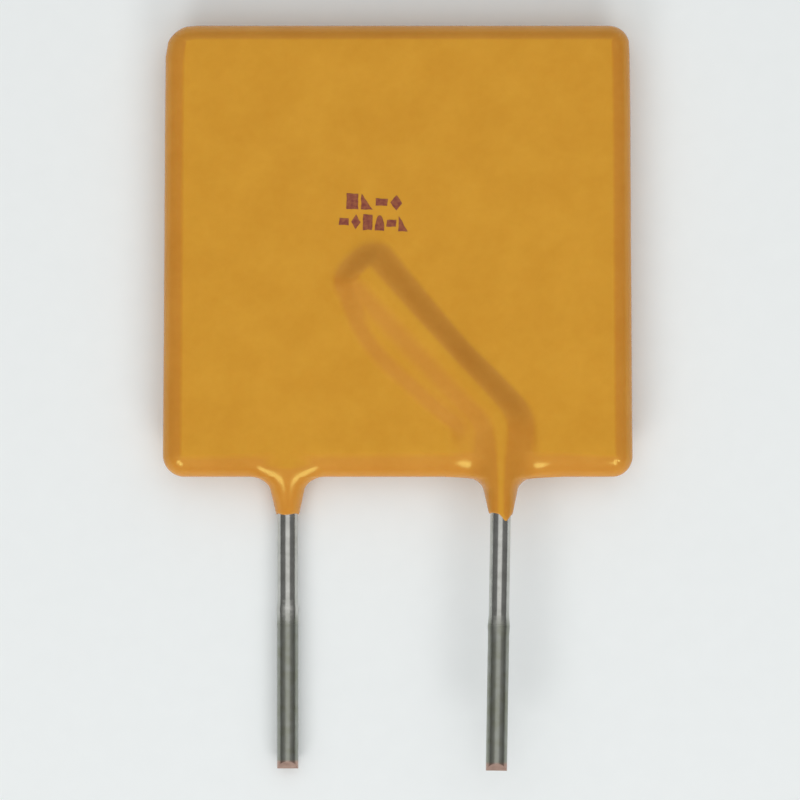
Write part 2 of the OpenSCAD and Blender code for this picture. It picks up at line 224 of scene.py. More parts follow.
@dataclass
class CoatingSheet:
    """The surface of one face of the coating, laid out in rows and columns.

    The rows turn with the near lead round its bend, so the ridge lies on one column. All
    places are in the face's own frame: the chip's middle is at height 0.
    """

    sizes: FuseSizes
    side: Side
    rings: int = 12
    far_columns: int = 28
    gap_columns: int = 8
    left_columns: int = 40
    right_columns: int = 30
    ridge_step: float = 0.24 * MM
    end_rows: int = 22
    plain_rows: int = 24
    plain_power: float = 1.5
    flare_rows: int = 16
    band_end: float = 1.5 * MM
    left_rim: Rim = Rim(1.0 * MM, 1.6)
    right_rim: Rim = Rim(0.94 * MM, 1.6)
    top_rim: Rim = Rim(0.76 * MM, 1.65)
    low_left_rim: Rim = Rim(1.2 * MM, 1.75)
    low_right_rim: Rim = Rim(1.26 * MM, 1.45)
    corners: tuple[float, float, float, float] = (1.05 * MM, 1.0 * MM, 1.0 * MM, 1.35 * MM)
    dip_r: float = 2.2 * MM
    dip_start: float = 0.5 * MM
    dip_end: float = 1.8 * MM
    dip_power: float = 1.3
    seam_fall: float = 1.8 * MM
    left_spread: float = 1.3
    right_spread: float = 1.6
    crest_flat: float = 0.1 * MM
    right_flat: float = 0.2 * MM
    upper_step: float = 1.5 * MM
    right_step: float = 1.82 * MM
    run_step: float = 1.15 * MM
    end_step: float = 1.65 * MM
    lower_step: float = 1.2 * MM
    bow_end: float = 1.0
    bow_skew: float = 1.6
    pool_start: float = 3.4 * MM
    pool_reach: float = 6.0 * MM
    turn: float = 4.7 * MM
    end_narrowing: float = 0.72
    end_r: float = 0.46 * MM
    tongue: float = 0.34 * MM
    fray: float = 0.03 * MM
    root_left: float = 2.6 * MM
    root_right: float = 2.9 * MM
    root_back: float = 1.8 * MM
    edge: float = 0.12 * MM

    def __post_init__(self) -> None:
        """Lays out the columns and the rows."""
        last = self.rings + 1
        self.columns = [Column(Strip.LEFT, k) for k in range(last + 1)]
        self.far_first = len(self.columns)
        self.columns += [
            Column(Strip.FAR, math.pi * (k / self.far_columns - 0.5))
            for k in range(self.far_columns + 1)
        ]
        self.far_last = len(self.columns) - 1
        self.columns += [Column(Strip.GAP, k / self.gap_columns) for k in range(1, self.gap_columns)]
        self.near_first = len(self.columns)
        self.columns += [
            Column(Strip.NEAR, math.pi / 2 * (k / self.left_columns - 1))
            for k in range(self.left_columns)
        ]
        self.columns += [
            Column(Strip.NEAR, math.pi / 2 * k / self.right_columns)
            for k in range(self.right_columns + 1)
        ]
        self.near_last = len(self.columns) - 1
        self.columns += [Column(Strip.RIGHT, last - k) for k in range(last + 1)]

        straight = self.bend_y - self.sizes.low_y - self.band_end
        arc = self.sizes.bend_r * self.sizes.bend_angle
        self.arc_start = straight
        self.run_start = straight + arc
        self.end_start = self.run_start + self.sizes.run - self.sizes.cover - self.bend_cut
        steps = round(self.end_start / self.ridge_step)
        self.rows = [Row(Zone.LOW, k) for k in range(last + 1)]
        self.rows += [Row(Zone.RIDGE, self.end_start * k / steps) for k in range(1, steps + 1)]
        self.rows += [
            Row(Zone.RIDGE, self.end_start + self.sizes.flank * math.sin(math.pi / 2 * k / self.end_rows))
            for k in range(1, self.end_rows + 1)
        ]
        self.rows += [Row(Zone.PLAIN, k / self.plain_rows) for k in range(1, self.plain_rows)]
        self.rows += [Row(Zone.TOP, last - k) for k in range(last + 1)]
        self.sleeve_rows = [
            Row(Zone.SLEEVE, k / self.flare_rows) for k in range(1, self.flare_rows + 1)
        ] + [Row(Zone.SLEEVE, 1 + k) for k in (1, 2, 3, 4)]

    @property
    def bend_cut(self) -> float:
        """Distance from the bend's corner to the bend's ends."""
        return self.sizes.bend_r * math.tan(self.sizes.bend_angle / 2)

    @property
    def bend_y(self) -> float:
        """Place along the leads where the bend starts."""
        return self.sizes.low_y + self.sizes.bend_rise - self.bend_cut

    def ring_height(self, ring: float) -> float:
        """Returns the height of a ring of the rounded band."""
        if ring > self.rings:
            return self.sizes.face_z
        return self.sizes.face_z * math.sin(math.pi / 2 * ring / self.rings)

    def ring_depth(self, ring: float, rim: Rim) -> float:
        """Returns how far inside the body's edge a ring of that rim lies."""
        if ring > self.rings:
            return self.band_end
        return rim.depth(math.sin(math.pi / 2 * ring / self.rings))

    def low_rim(self, x: float) -> Rim:
        """Returns the rim of the lower edge at a place across the body."""
        place = clamp(self.side.value * x / self.sizes.body_w + 0.5)
        first, last = self.low_left_rim, self.low_right_rim
        return Rim(mix(first.width, last.width, place), mix(first.power, last.power, place))

    def corner_radius(self, left: bool, low: bool) -> float:
        """Returns the radius of one corner, named in the face's own frame."""
        low_left, low_right, top_right, top_left = self.corners
        physical_left = left == (self.side is Side.FRONT)
        if low:
            return low_left if physical_left else low_right
        return top_left if physical_left else top_right

    def side_rim(self, left: bool) -> Rim:
        """Returns the left or the right rim, named in the face's own frame."""
        physical_left = left == (self.side is Side.FRONT)
        return self.left_rim if physical_left else self.right_rim

    @staticmethod
    def bell(width: float, height: float, radius: float, angle: float, spread: float = 0.0) -> float:
        """Returns the height of a bell whose crest has the given radius.

        Args:
            width: Distance from the crest to the foot.
            height: Height of the crest.
            radius: Radius of the crest.
            angle: Place across the bell, from 0 at the crest to a quarter turn at the foot.
            spread: How much the bell widens towards its foot.

        Returns:
            The height above the foot.
        """
        radius *= 1 + spread * math.sin(angle) ** 2
        power = max(1.0, width * width / (height * radius))
        return height * max(0.0, math.cos(angle)) ** power

    def ridge_height(
        self,
        x: float,
        flank: float,
        height: float,
        pool: float,
        foot: float,
        spread: float,
        pooled: float,
        step: float,
    ) -> float:
        """Returns the ridge's height at a distance from its crest line.

        Args:
            x: Distance from the crest line.
            flank: Half width of the ridge that the lead makes.
            height: Height of the crest.
            pool: Height of the shelf over the solder pool.
            foot: Distance from the crest line to the shelf's foot.
            spread: How much the ridge widens towards its foot.
            pooled: Share of the gentle form that the coating takes away from the lower edge.
            step: Width of the gentle form's upper step.

        Returns:
            The height above the face.
        """
        lead = 0.0
        if x < flank and height > 0:
            lead = self.bell(flank, height, self.sizes.crest_r, math.asin(x / flank), spread)
        flat = self.crest_flat if pool else self.right_flat
        step = min(step, foot - flat)
        upper = (height - pool) * (1 - ease((x - flat) / step))
        lower = pool * (1 - ease((x - foot + self.lower_step) / self.lower_step))
        return mix(lead, upper + lower, pooled)

    def dip(self, out: float) -> float:
        """Returns the height over the far lead's centre line, out beyond the body's edge."""
        share = clamp((out + self.dip_start) / (self.dip_end + self.dip_start))
        end = self.sizes.sleeve_r - self.sizes.wire_z
        return mix(self.sizes.face_z, end, share**self.dip_power)

    def root(self, near: bool, left: bool) -> float:
        """Returns the flank's width at the body's lower edge.

        Args:
            near: Whether the lead is the near one.
            left: Whether the flank is the left one in the face's own frame.

        Returns:
            The width, from the lead's centre line.
        """
        if near != (self.side is Side.FRONT):
            return self.root_back
        return self.root_left if left == (self.side is Side.FRONT) else self.root_right

    def sleeve_width(self, out: float, root: float) -> float:
        """Returns half the width of a sleeve with that root, out beyond the body's edge."""
        rest = 1 - clamp(out / self.sizes.fillet)
        funnel = self.sizes.sleeve_r + self.sizes.funnel * (1 - clamp(out / self.sizes.back_sleeve))
        wide = (root - self.root_back) * (1 - clamp(out / self.edge)) ** 2
        return mix(funnel, self.root_back, 1 - math.sqrt(1 - rest * rest)) + wide

    def pooled(self, inside: float) -> float:
        """Returns the gentle form's share at a distance inside the lower edge."""
        return ease(inside / self.pool_start)

    def spread(self, left: bool, share: float) -> float:
        """Returns how much the near flank widens towards its foot, at a share of the way to plain."""
        return (self.left_spread if left else self.right_spread) * (1 - share)

    def round_corner(self, u: float, v: float, radius: float) -> tuple[float, float]:
        """Moves a point of a square corner onto a round one.

        Args:
            u: Distance from the side edge.
            v: Distance from the upper or lower edge.
            radius: Radius of the corner.

        Returns:
            The same two distances on the round corner.
        """
        a = (radius - u) / radius
        b = (radius - v) / radius
        if a <= 0 or b <= 0:
            return u, v
        share = max(a, b) / math.hypot(a, b)
        return radius * (1 - a * share), radius * (1 - b * share)

    def crest(self, length: float) -> tuple[float, float]:
        """Follows the crest line over the near lead.

        Args:
            length: Distance along the line from the first row of the ridge.

        Returns:
            The place across the body from the lead's free end, and the place along the body.
        """
        if length <= self.arc_start:
            return 0.0, self.sizes.low_y + self.band_end + length
        radius = self.sizes.bend_r
        if length <= self.run_start:
            angle = (length - self.arc_start) / radius
            return radius * (math.cos(angle) - 1), self.bend_y + radius * math.sin(angle)
        along = length - self.run_start + self.bend_cut
        corner_y = self.sizes.low_y + self.sizes.bend_rise
        angle = self.sizes.bend_angle
        return -along * math.sin(angle), corner_y + along * math.cos(angle)

    def lead_x(self, near: bool) -> float:
        """Returns the place of the near or the far lead across the body."""
        half = self.sizes.pitch / 2
        return self.side.value * self.sizes.lead_shift + (half if near else -half)

    def side_point(self, column: Column, row: Row, y: float) -> Point:
        """Returns a point of the left or right band; y is its place in the ridge's zone."""
        left = column.strip is Strip.LEFT
        u = self.ring_depth(column.place, self.side_rim(left))
        ring = column.place
        if row.zone in (Zone.LOW, Zone.TOP):
            low = row.zone is Zone.LOW
            edge = -self.sizes.body_w / 2 if left else self.sizes.body_w / 2
            rim = self.low_rim(edge).halfway(self.side_rim(left)) if low else self.top_rim
            v = self.ring_depth(row.place, rim)
            u, v = self.round_corner(u, v, self.corner_radius(left, low))
            y = self.sizes.low_y + v if low else self.sizes.top_y - v
            ring = min(ring, row.place)
        x = self.sizes.half_w(y) - u
        return (-x if left else x), y, self.ring_height(ring)

    def low_point(self, column: Column, row: Row) -> Point:
        """Returns a point of the lower band, between the corners."""
        base = self.ring_height(row.place)
        if column.strip is Strip.GAP:
            start = self.lead_x(False) + self.root(False, False)
            end = self.lead_x(True) - self.root(True, True)
            x = mix(start, end, column.place)
            return x, self.sizes.low_y + self.ring_depth(row.place, self.low_rim(x)), base
        near = column.strip is Strip.NEAR
        flank = self.root(near, column.place < 0)
        x = self.lead_x(near) + flank * math.sin(column.place)
        depth = self.ring_depth(row.place, self.low_rim(x))
        crest = self.sizes.lift if near else max(base, self.dip(-depth))
        radius = self.sizes.crest_r if near else self.dip_r
        z = base
        if near:
            left = column.place < 0
            pool = self.sizes.pool_rise if left else 0.0
            step = self.upper_step if left else self.right_step
            place = abs(x - self.lead_x(near))
            spread = self.spread(left, 1 - base / self.sizes.face_z)
            pooled = self.pooled(depth)
            z += self.ridge_height(place, flank, crest - base, pool, flank, spread, pooled, step)
        elif crest > base:
            z += self.bell(flank, crest - base, radius, column.place)
        return x, self.sizes.low_y + depth, z

    def sleeve_point(self, column: Column, row: Row) -> Point:
        """Returns a point of a sleeve, below the body's lower edge."""
        near = column.strip is Strip.NEAR
        sizes = self.sizes
        front = near == (self.side is Side.FRONT)
        flare = min(row.place, 1.0)
        out = sizes.flare * (1 - math.cos(math.pi / 2 * flare))
        radius_scale = 1.0
        if row.place > 1:
            step = int(row.place) - 1
            across = self.side.value * math.sin(column.place)
            end = sizes.front_sleeve if front else sizes.back_sleeve
            if front:
                end += self.tongue * (math.exp(-(((across - 0.5) / 0.42) ** 2)) - 0.5)
            end += self.fray * math.sin(3 * column.place + (1.0 if front else 2.2))
            out = mix(out, end, (0.4, 0.75, 0.94, 1.0)[step - 1])
            radius_scale = (1.0, 1.0, 0.97, 0.88)[step - 1]
        width = self.sleeve_width(out, self.root(near, column.place < 0))
        seam = sizes.wire_z * ease(out / self.seam_fall)
        share = ease(out / sizes.flare)
        if near:
            radius = mix(sizes.crest_r, sizes.sleeve_r, share)
            height = sizes.wire_z + radius - seam
        else:
            seam = -seam
            radius = mix(sizes.sleeve_r, self.dip_r, (1 - clamp(out / sizes.flare)) ** 2)
            height = self.dip(out) - seam
        x = width * math.sin(column.place) * radius_scale
        z = seam + self.bell(width, height, radius, column.place) * radius_scale
        return self.lead_x(near) + x, sizes.low_y - out, z

    def ridge_point(self, column: Column, row: Row) -> Point:
        """Returns a point of the rows that cross the ridge, between the side bands."""
        sizes = self.sizes
        offset, crest_y = self.crest(row.place)
        crest_x = self.lead_x(True) + offset
        turned = clamp(row.place / self.turn)
        angle = sizes.bend_angle * turned
        ending = math.asin(clamp((row.place - self.end_start) / sizes.flank))
        narrow = math.sqrt(1 - (self.end_narrowing * math.sin(ending)) ** 2)
        left_flank = mix(self.root(True, True), sizes.flank, turned)
        right_flank = mix(self.root(True, False), sizes.flank, turned)
        share = clamp((row.place - self.arc_start) / (self.end_start - self.arc_start))
        bow = math.sin(math.pi * self.bow_end * share**self.bow_skew)
        foot = mix(self.root(True, True), sizes.pool_flank, ease(row.place / self.pool_reach))
        foot += sizes.pool_bow * bow
        foot *= narrow
        if column.strip is not Strip.NEAR:
            first_x = -sizes.half_w(sizes.low_y) + self.band_end
            inner_x = -sizes.half_w(crest_y) + self.band_end
            low_x = self.low_point(column, Row(Zone.LOW, 0))[0]
            share = (low_x - first_x) / (self.lead_x(True) - self.root(True, True) - first_x)
            x = mix(inner_x, crest_x - foot * math.cos(angle), share)
            y = mix(crest_y, crest_y - foot * math.sin(angle), share)
            return x, y, sizes.face_z
        left = column.place < 0
        place = math.sin(column.place)
        if left:
            place = mix(place, column.place / (math.pi / 2), turned)
        width = foot if left else right_flank * narrow
        flank = (left_flank if left else right_flank) * narrow
        x = width * place
        crest = sizes.lift - sizes.face_z
        cap = max(0.0, math.cos(ending)) ** (sizes.flank**2 / (crest * self.end_r))
        pooled = self.pooled(row.place + self.band_end)
        z = sizes.face_z
        if abs(x) < width:
            pool = sizes.pool_rise * cap if left else 0.0
            spread = self.spread(left, turned)
            run_step = mix(self.run_step, self.end_step, share * share)
            step = self.upper_step if left else mix(self.right_step, run_step, turned)
            z += self.ridge_height(
                abs(x), flank, crest * cap, pool, width, spread, pooled, step * narrow
            )
        return crest_x + x * math.cos(angle), crest_y + x * math.sin(angle), z

    def top_point(self, index: int, row: Row) -> Point:
        """Returns a point of the upper band, between the corners."""
        first, last = self.rings + 1, len(self.columns) - self.rings - 2
        edge = self.sizes.half_w(self.sizes.top_y) - self.band_end
        x = mix(-edge, edge, (index - first) / (last - first))
        y = self.sizes.top_y - self.ring_depth(row.place, self.top_rim)
        return x, y, self.ring_height(row.place)

    def point(self, index: int, row: Row) -> Point:
        """Returns any point of the sheet.

        Args:
            index: Number of the column.
            row: The row.

        Returns:
            The point in the face's own frame.
        """
        column = self.columns[index]
        if row.zone is Zone.SLEEVE:
            return self.sleeve_point(column, row)
        if row.zone is Zone.PLAIN:
            ridge_end = Row(Zone.RIDGE, self.end_start + self.sizes.flank)
            below = self.point(index, ridge_end)
            above = self.point(index, Row(Zone.TOP, self.rings + 1))
            x = mix(below[0], above[0], row.place**self.plain_power)
            return x, mix(below[1], above[1], row.place), mix(below[2], above[2], row.place)
        if column.strip in (Strip.LEFT, Strip.RIGHT):
            y = self.crest(row.place)[1] if row.zone is Zone.RIDGE else 0.0
            return self.side_point(column, row, y)
        if row.zone is Zone.LOW:
            return self.low_point(column, row)
        if row.zone is Zone.TOP:
            return self.top_point(index, row)
        return self.ridge_point(column, row)

    def placed(self, point: Point) -> Point:
        """Turns a point of the face's own frame into one of the row frame."""
        turn = self.side.value
        return turn * point[0], point[1], turn * point[2] + self.sizes.lift


@dataclass(frozen=True)
class Finish:
    """A finish: makes a node material and gives the common steps for building one."""

    name: str

    def start(self) -> tuple[bpy.types.Material, bpy.types.NodeTree, bpy.types.Node]:
        """Starts a node material.

        Returns:
            The material, its node tree and its Principled shader.
        """
        material = bpy.data.materials.new(self.name)
        material.use_nodes = True
        tree = material.node_tree
        shader = next(n for n in tree.nodes if n.type == "BSDF_PRINCIPLED")
        return material, tree, shader

    @staticmethod
    def noise(
        tree: bpy.types.NodeTree, place: bpy.types.NodeSocket, scale: float, detail: float
    ) -> bpy.types.NodeSocket:
        """Adds a noise texture.

        Args:
            tree: The node tree.
            place: Socket that gives the place.
            scale: Waves per metre.
            detail: Number of octaves.

        Returns:
            The texture's value.
        """
        node = tree.nodes.new("ShaderNodeTexNoise")
        node.inputs["Scale"].default_value = scale
        node.inputs["Detail"].default_value = detail
        tree.links.new(place, node.inputs["Vector"])
        return node.outputs["Fac"]

    @staticmethod
    def ramp(
        tree: bpy.types.NodeTree,
        value: bpy.types.NodeSocket,
        stops: list[tuple[float, Colour]],
    ) -> bpy.types.NodeSocket:
        """Adds a colour ramp.

        Args:
            tree: The node tree.
            value: Socket that drives the ramp.
            stops: Place and colour of each stop.

        Returns:
            The ramp's colour.
        """
        node = tree.nodes.new("ShaderNodeValToRGB")
        elements = node.color_ramp.elements
        while len(elements) < len(stops):
            elements.new(0.5)
        for element, (place, colour) in zip(elements, stops):
            element.position = place
            element.color = colour
        tree.links.new(value, node.inputs["Fac"])
        return node.outputs["Color"]

    @staticmethod
    def blend(
        tree: bpy.types.NodeTree,
        share: bpy.types.NodeSocket | float,
        first: bpy.types.NodeSocket,
        second: bpy.types.NodeSocket,
        how: str = "MIX",
    ) -> bpy.types.NodeSocket:
        """Adds a mix of two colours.

        Args:
            tree: The node tree.
            share: Share of the second colour, as a socket or a number.
            first: The first colour.
            second: The second colour.
            how: The way of mixing.

        Returns:
            The mixed colour.
        """
        node = tree.nodes.new("ShaderNodeMix")
        node.data_type = "RGBA"
        node.blend_type = how
        if isinstance(share, float):
            node.inputs["Factor"].default_value = share
        else:
            tree.links.new(share, node.inputs["Factor"])
        tree.links.new(first, node.inputs[6])
        tree.links.new(second, node.inputs[7])
        return node.outputs[2]

    @staticmethod
    def bump(
        tree: bpy.types.NodeTree,
        height: bpy.types.NodeSocket,
        distance: float,
        strength: float,
        shader: bpy.types.Node,
    ) -> None:
        """Adds a bump of the given height in metres to a shader."""
        node = tree.nodes.new("ShaderNodeBump")
        node.inputs["Distance"].default_value = distance
        node.inputs["Strength"].default_value = strength
        tree.links.new(height, node.inputs["Height"])
        tree.links.new(node.outputs["Normal"], shader.inputs["Normal"])

    @staticmethod
    def steepness(tree: bpy.types.NodeTree) -> bpy.types.NodeSocket:
        """Adds a value that is 0 where the surface lies flat and 1 where it stands upright."""
        split = tree.nodes.new("ShaderNodeSeparateXYZ")
        coordinates = tree.nodes.new("ShaderNodeTexCoord")
        tree.links.new(coordinates.outputs["Normal"], split.inputs["Vector"])
        level = tree.nodes.new("ShaderNodeMath")
        level.operation = "ABSOLUTE"
        tree.links.new(split.outputs["Z"], level.inputs[0])
        rest = tree.nodes.new("ShaderNodeMath")
        rest.operation = "SUBTRACT"
        rest.inputs[0].default_value = 1.0
        tree.links.new(level.outputs["Value"], rest.inputs[1])
        return rest.outputs["Value"]

    @staticmethod
    def place(tree: bpy.types.NodeTree) -> bpy.types.NodeSocket:
        """Adds object coordinates and returns them."""
        return tree.nodes.new("ShaderNodeTexCoord").outputs["Object"]

    @staticmethod
    def along_y(
        tree: bpy.types.NodeTree, place: bpy.types.NodeSocket, start: float, end: float
    ) -> bpy.types.NodeSocket:
        """Adds a value that goes from 0 at Y start to 1 at Y end and returns it."""
        split = tree.nodes.new("ShaderNodeSeparateXYZ")
        tree.links.new(place, split.inputs["Vector"])
        node = tree.nodes.new("ShaderNodeMapRange")
        node.inputs["From Min"].default_value = start
        node.inputs["From Max"].default_value = end
        tree.links.new(split.outputs["Y"], node.inputs["Value"])
        return node.outputs["Result"]


@dataclass(frozen=True)
class DippedEpoxy(Finish):
    """Glossy orange-yellow epoxy with faint mottling, and painted shade and painted reflection that tint
    its sloping surfaces.
    """

    light: Colour = srgb(218, 155, 50)
    deep: Colour = srgb(210, 145, 43)
    flat: Colour = (1.0, 1.0, 1.0, 1.0)
    # Painted shade and painted reflection: the multiplier for sloping surfaces, darker and less green
    # with a bluish lift.
    steep: Colour = (0.94, 0.86, 1.3, 1.0)

    def make(self) -> bpy.types.Material:
        """Returns the material."""
        material, tree, shader = self.start()
        place = self.place(tree)
        broad = self.noise(tree, place, 420, 3)
        fine = self.noise(tree, place, 2600, 4)
        broad_colour = self.ramp(tree, broad, [(0.35, self.deep), (0.65, self.light)])
        fine_colour = self.ramp(tree, fine, [(0.3, self.deep), (0.7, self.light)])
        colour = self.blend(tree, 0.35, broad_colour, fine_colour)
        # Painted shade and painted reflection: the colour turns towards the steep multiplier wherever the
        # surface slopes, standing in for how light falls on it.
        painted_slope_shade = self.ramp(tree, self.steepness(tree), [(0.002, self.flat), (0.06, self.steep)])
        colour = self.blend(tree, 1.0, colour, painted_slope_shade, "MULTIPLY")
        tree.links.new(colour, shader.inputs["Base Color"])
        rough = tree.nodes.new("ShaderNodeMapRange")
        rough.inputs["To Min"].default_value = 0.15
        rough.inputs["To Max"].default_value = 0.19
        tree.links.new(fine, rough.inputs["Value"])
        tree.links.new(rough.outputs["Result"], shader.inputs["Roughness"])
        shader.inputs["Specular IOR Level"].default_value = 0.5
        shader.inputs["Specular Tint"].default_value = (1.0, 1.0, 0.26, 1.0)
        shader.inputs["IOR"].default_value = 1.5
        shader.inputs["Subsurface Weight"].default_value = 0.15
        shader.inputs["Subsurface Radius"].default_value = (1.0, 0.45, 0.1)
        shader.inputs["Subsurface Scale"].default_value = 0.2 * MM
        self.bump(tree, broad, 12 * MICRON, 0.5, shader)
        return material


@dataclass(frozen=True)
class StampInk(Finish):
    """Red-brown stamping ink, thin and uneven."""

    thick: Colour = srgb(124, 46, 28)
    thin: Colour = srgb(156, 82, 40)

    def make(self) -> bpy.types.Material:
        """Returns the material."""
        material, tree, shader = self.start()
        value = self.noise(tree, self.place(tree), 5200, 3)
        colour = self.ramp(tree, value, [(0.35, self.thick), (0.66, self.thin)])
        tree.links.new(colour, shader.inputs["Base Color"])
        shader.inputs["Roughness"].default_value = 0.4
        self.bump(tree, value, 4 * MICRON, 0.4, shader)
        return material


@dataclass(frozen=True)
class TinnedWire(Finish):
    """Tinned copper wire: bright above, duller on the dipped tail, bare copper at the cut."""

    tail_y: float = -10.6 * MM
    cut_y: float = -17.45 * MM
    bright: Colour = srgb(200, 200, 195)
    dull: Colour = srgb(155, 157, 151)
    copper: Colour = srgb(198, 166, 152)

    def make(self) -> bpy.types.Material:
        """Returns the material."""
        material, tree, shader = self.start()
        place = self.place(tree)
        tail = self.along_y(tree, place, self.tail_y + 0.3 * MM, self.tail_y - 0.3 * MM)
        cut = self.along_y(tree, place, self.cut_y + 0.08 * MM, self.cut_y - 0.04 * MM)
        streak = self.noise(tree, place, 1900, 5)
        bright = self.ramp(tree, streak, [(0.3, self.bright), (0.75, srgb(176, 176, 170))])
        dull = self.ramp(tree, streak, [(0.3, self.dull), (0.7, srgb(140, 142, 128))])
        copper = self.ramp(tree, streak, [(0.3, self.copper), (0.8, srgb(158, 128, 116))])
        colour = self.blend(tree, tail, bright, dull)
        colour = self.blend(tree, cut, colour, copper)
        tree.links.new(colour, shader.inputs["Base Color"])
        shader.inputs["Metallic"].default_value = 1.0
        rough = tree.nodes.new("ShaderNodeMapRange")
        rough.inputs["To Min"].default_value = 0.16
        rough.inputs["To Max"].default_value = 0.28
        tree.links.new(tail, rough.inputs["Value"])
        tree.links.new(rough.outputs["Result"], shader.inputs["Roughness"])
        self.bump(tree, streak, 14 * MICRON, 0.5, shader)
        return material


@dataclass(frozen=True)
class HiddenFinish(Finish):
    """A finish of a piece sealed inside the coating: two tones and a fine grain."""

    light: Colour
    dark: Colour
    metallic: float
    roughness: float
    grain: float

    def make(self) -> bpy.types.Material:
        """Returns the material."""
        material, tree, shader = self.start()
        value = self.noise(tree, self.place(tree), self.grain, 4)
        colour = self.ramp(tree, value, [(0.3, self.dark), (0.7, self.light)])
        tree.links.new(colour, shader.inputs["Base Color"])
        shader.inputs["Metallic"].default_value = self.metallic
        shader.inputs["Roughness"].default_value = self.roughness
        self.bump(tree, value, 8 * MICRON, 0.4, shader)
        return material


@dataclass
class Coating:
    """The dipped coating, which replaces the solid of the same name."""

    sizes: FuseSizes
    wave: float = 9 * MICRON
    sag: float = 22 * MICRON

    def seam_partner(self, sheet: CoatingSheet, index: int, low: bool) -> int:
        """Returns the column of the front that a seam column of the back lies on."""
        if low and sheet.far_last <= index <= sheet.near_first:
            return sheet.far_last + sheet.near_first - index
        return len(sheet.columns) - 1 - index

    def on_seam(self, sheet: CoatingSheet, index: int, row: Row) -> bool:
        """Tells whether a point lies on the seam that the two faces share."""
        last = len(sheet.columns) - 1
        edges = (sheet.far_first, sheet.far_last, sheet.near_first, sheet.near_last)
        if row.zone is Zone.SLEEVE:
            return index in edges
        if index in (0, last) or (row.zone is Zone.TOP and row.place == 0):
            return True
        if row.zone is Zone.LOW and row.place == 0:
            far = sheet.far_first < index < sheet.far_last
            near = sheet.near_first < index < sheet.near_last
            return not far and not near
        return False

    def mesh(self) -> bpy.types.Mesh:
        """Builds the closed skin out of the two faces.

        Returns:
            The mesh, in the row frame.
        """
        points: list[Point] = []
        numbers: dict[tuple[Side, int, int], int] = {}
        faces: list[tuple[int, ...]] = []
        sheets = {side: CoatingSheet(self.sizes, side) for side in Side}
        for side, sheet in sheets.items():
            rows = list(enumerate(sheet.rows))
            rows += [(-k, row) for k, row in enumerate(sheet.sleeve_rows, start=1)]
            for number, row in rows:
                for index in self.row_columns(sheet, number):
                    if side is Side.BACK and self.on_seam(sheet, index, row):
                        partner = self.seam_partner(sheet, index, number <= 0)
                        numbers[side, index, number] = numbers[Side.FRONT, partner, number]
                        continue
                    numbers[side, index, number] = len(points)
                    points.append(self.waved(sheet.placed(sheet.point(index, row))))
            faces += self.cells(sheet, side, numbers)
        end = -len(sheets[Side.FRONT].sleeve_rows)
        for side, other in ((Side.FRONT, Side.BACK), (Side.BACK, Side.FRONT)):
            sheet = sheets[side]
            ring = [numbers[side, k, end] for k in range(sheet.near_first, sheet.near_last + 1)]
            ring += [numbers[other, k, end] for k in range(sheet.far_first + 1, sheet.far_last)]
            faces.append(tuple(reversed(ring)))
        mesh = bpy.data.meshes.new("dipped_coating")
        mesh.from_pydata(points, [], faces)
        mesh.validate()
        mesh.shade_smooth()
        return mesh

    @staticmethod
    def row_columns(sheet: CoatingSheet, number: int) -> list[int]:
        """Returns the columns that a row has; a row of the sleeves has two short stretches."""
        if number >= 0:
            return list(range(len(sheet.columns)))
        far = range(sheet.far_first, sheet.far_last + 1)
        near = range(sheet.near_first, sheet.near_last + 1)
        return [*far, *near]

    def cells(
        self, sheet: CoatingSheet, side: Side, numbers: dict[tuple[Side, int, int], int]
    ) -> list[tuple[int, ...]]:
        """Returns the four-sided faces of one sheet.

        Args:
            sheet: The sheet.
            side: Its side.
            numbers: Number of each point, by side, column and row.

        Returns:
            The faces, each as the numbers of its points.
        """
        faces = []
        for row in range(-len(sheet.sleeve_rows), len(sheet.rows) - 1):
            columns = self.row_columns(sheet, row)
            for index in columns:
                if row < 0 and index in (sheet.far_last, sheet.near_last):
                    continue
                if index == len(sheet.columns) - 1:
                    continue
                corners = ((index, row), (index + 1, row), (index + 1, row + 1), (index, row + 1))
                faces.append(tuple(numbers[(side, *corner)] for corner in corners))
        return faces

    def waved(self, point: Point) -> Point:
        """Moves a point a little, so the skin is as uneven as a dipped one."""
        x, y, z = point
        place = Vector((x, y, 0.6 * z)) / MM
        broad = noise.noise(place * 0.11 + Vector((3.1, 0.7, 2.0)))
        close = noise.noise(place * 0.34 + Vector((0.0, 5.0, 1.0)))
        height = self.sag * broad + self.wave * close
        up = 1.0 if z > self.sizes.lift else -1.0
        inside = clamp((y - self.sizes.low_y) / (1.2 * MM))
        return x + 0.5 * self.sag * close * inside, y, z + up * height * 0.6 * inside

    def build(self, finish: Finish) -> bpy.types.Object:
        """Builds the piece, rides it and gives it its finish."""
        piece = bpy.data.objects.new("dipped_coating", self.mesh())
        bpy.context.scene.collection.objects.link(piece)
        piece.data.materials.append(finish.make())
        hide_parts("coating")
        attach(piece, ROOT)
        return piece


class Glyph(Enum):
    """The plain shapes that the printed mark is made of."""

    BLOCK = "block"
    BAR = "bar"
    WEDGE = "wedge"
    LOZENGE = "lozenge"
    HALF_DISC = "half disc"


